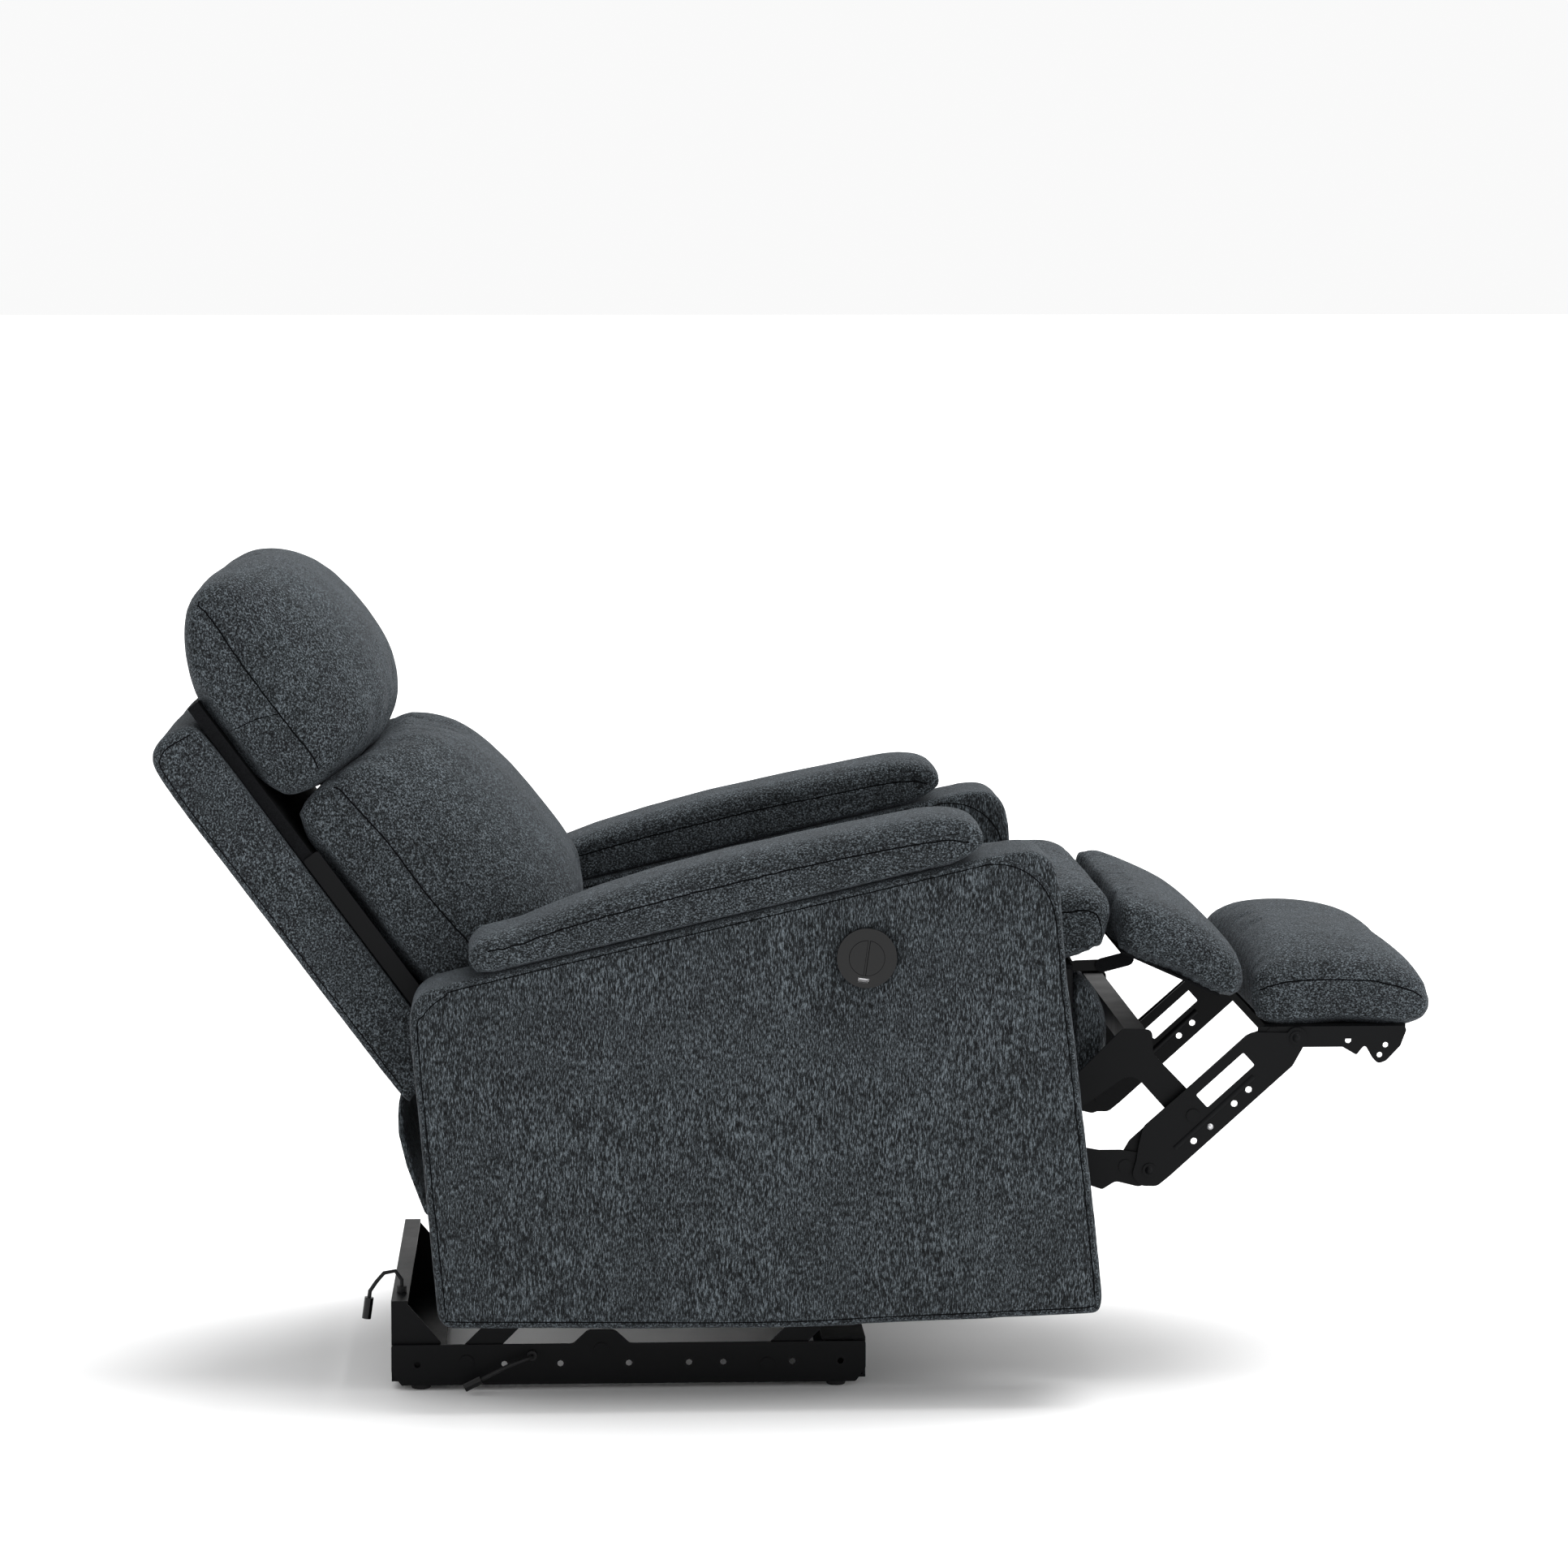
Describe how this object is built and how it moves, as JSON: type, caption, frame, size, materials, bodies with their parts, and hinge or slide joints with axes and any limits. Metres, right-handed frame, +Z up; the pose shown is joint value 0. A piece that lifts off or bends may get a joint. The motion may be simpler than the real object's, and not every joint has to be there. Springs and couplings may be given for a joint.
{
  "type": "recliner armchair",
  "caption": "Upholstered recliner armchair, shown reclined with its footrest out, with padded arms, a steel folding linkage, swing-link base and a side switch.",
  "frame": {"origin": "on the floor, midway along the chair's length and width as it is stored, reclined with the footrest out", "axes": "+X from the back to the footrest, +Y to the sitter's left, +Z up"},
  "size_m": [1.5276, 0.8018, 0.9864],
  "materials": {
    "black_steel": "satin black powder coat",
    "black_rubber": "matt black",
    "plywood": "raw plywood",
    "dark_cloth": "thin black dust cloth over board",
    "upholstery": "woven charcoal chenille",
    "black_plastic": "satin black",
    "bright_steel": "bright",
    "grey_nylon": "satin"
  },
  "bodies": {
    "base": {"base_rail_right": "black_steel", "base_rail_left": "black_steel", "rear_crossbar": "black_steel", "front_crossbar": "black_steel", "glide_rear_right": "black_rubber", "glide_rear_left": "black_rubber", "glide_front_right": "black_rubber", "glide_front_left": "black_rubber", "power_lead": "black_rubber", "power_lead_bush": "black_rubber", "power_lead_plug": "black_rubber", "control_lead": "black_rubber", "control_lead_bush": "black_rubber", "control_lead_plug": "black_rubber"},
    "rear_links": {"rear_swing_link_right": "black_steel", "rear_swing_link_left": "black_steel"},
    "front_links": {"front_swing_link_right": "black_steel", "front_swing_link_left": "black_steel"},
    "seat": {"seat_plate_right": "black_steel", "seat_plate_left": "black_steel", "front_rail": "plywood", "rear_cross_tube": "black_steel", "seat_deck": "dark_cloth", "seat_cushion": "upholstery", "side_panel_right": "upholstery", "side_panel_left": "upholstery", "arm_pad_right": "upholstery", "arm_pad_left": "upholstery", "front_valance": "upholstery", "switch_housing": "black_plastic", "usb_port": "bright_steel", "pad_hinge_bracket": "black_steel"},
    "open_button": {"button_open": "black_plastic"},
    "close_button": {"button_close": "black_plastic"},
    "back": {"back_frame": "dark_cloth", "back_bracket_right": "black_steel", "back_bracket_left": "black_steel", "outside_back": "upholstery", "back_skirt": "dark_cloth", "lumbar_cushion": "upholstery", "headrest_cushion": "upholstery"},
    "lower_links": {"lower_link_right": "black_steel", "lower_link_left": "black_steel"},
    "outer_links": {"outer_link_right": "black_steel", "outer_link_left": "black_steel"},
    "twin_links": {"twin_link_right": "black_steel", "twin_link_left": "black_steel"},
    "cross_links": {"cross_link_right": "black_steel", "cross_link_left": "black_steel", "torque_tube": "black_steel"},
    "ottoman": {"ottoman_bracket_right": "black_steel", "ottoman_bracket_left": "black_steel", "ottoman_board": "plywood", "ottoman_cushion": "upholstery"},
    "calf_pad": {"calf_board": "dark_cloth", "calf_pad": "upholstery"},
    "actuator": {"gear_motor": "black_steel", "actuator_rail": "grey_nylon", "lead_screw": "bright_steel"},
    "drive_fork": {"drive_fork": "black_steel"}
  },
  "joints": [
    {"name": "recline", "type": "hinge", "parent": "seat", "child": "back", "pos_m": [-0.35051, 0, 0.38], "axis": [0, 1, 0], "range_deg": [0, 24]},
    {"name": "rear_swing", "type": "hinge", "parent": "base", "child": "rear_links", "pos_m": [-0.39651, 0, 0.034], "axis": [0, -1, 0], "range_deg": [0, 60.01]},
    {"name": "seat_carry", "type": "hinge", "parent": "rear_links", "child": "seat", "pos_m": [-0.31166, 0, 0.11885], "axis": [0, 1, 0], "range_deg": [0, 60.01]},
    {"name": "front_swing", "type": "hinge", "parent": "base", "child": "front_links", "pos_m": [-0.03651, 0, 0.028], "axis": [0, -1, 0], "range_deg": [0, 60.01]},
    {"name": "footrest", "type": "hinge", "parent": "seat", "child": "lower_links", "pos_m": [0.19949, 0, 0.3], "axis": [0, 1, 0], "range_deg": [0, 90]},
    {"name": "outer_link_turn", "type": "hinge", "parent": "lower_links", "child": "outer_links", "pos_m": [0.42149, 0, 0.26], "axis": [0, -1, 0], "range_deg": [0, 98.51]},
    {"name": "ottoman_turn", "type": "hinge", "parent": "outer_links", "child": "ottoman", "pos_m": [0.59749, 0, 0.419], "axis": [0, 1, 0], "range_deg": [0, 98.51]},
    {"name": "twin_link_turn", "type": "hinge", "parent": "lower_links", "child": "twin_links", "pos_m": [0.39349, 0, 0.264], "axis": [0, -1, 0], "range_deg": [0, 98.51]},
    {"name": "cross_link_turn", "type": "hinge", "parent": "seat", "child": "cross_links", "pos_m": [0.24776, 0, 0.37784], "axis": [0, 1, 0], "range_deg": [0, 88.68]},
    {"name": "calf_pad_turn", "type": "hinge", "parent": "seat", "child": "calf_pad", "pos_m": [0.36949, 0, 0.5], "axis": [0, 1, 0], "range_deg": [0, 64.81]},
    {"name": "actuator_pitch", "type": "hinge", "parent": "seat", "child": "actuator", "pos_m": [-0.27051, 0, 0.235], "axis": [0, 1, 0], "range_deg": [0, 10.67]},
    {"name": "actuator_slide", "type": "slide", "parent": "actuator", "child": "drive_fork", "axis": [-0.9869, 0, -0.1615], "range_m": [0, 0.19191]},
    {"name": "button_open_press", "type": "slide", "parent": "seat", "child": "open_button", "axis": [0, 1, 0], "range_m": [0, 0.0015], "stiffness_N_per_m": 600},
    {"name": "button_close_press", "type": "slide", "parent": "seat", "child": "close_button", "axis": [0, 1, 0], "range_m": [0, 0.0015], "stiffness_N_per_m": 600}
  ],
  "couplings": [
    {"joint": "rear_swing", "follows": "recline", "ratio": 2.5},
    {"joint": "seat_carry", "follows": "recline", "ratio": 2.5},
    {"joint": "front_swing", "follows": "recline", "ratio": 2.5},
    {"joint": "outer_link_turn", "follows": "footrest", "ratio": 1.0944},
    {"joint": "ottoman_turn", "follows": "footrest", "ratio": 1.0944},
    {"joint": "twin_link_turn", "follows": "footrest", "ratio": 1.0944},
    {"joint": "cross_link_turn", "follows": "footrest", "ratio": 0.98524},
    {"joint": "calf_pad_turn", "follows": "footrest", "ratio": 0.72},
    {"joint": "actuator_pitch", "follows": "footrest", "ratio": 0.11842},
    {"joint": "actuator_slide", "follows": "footrest", "m_per_rad": 0.12211}
  ]
}
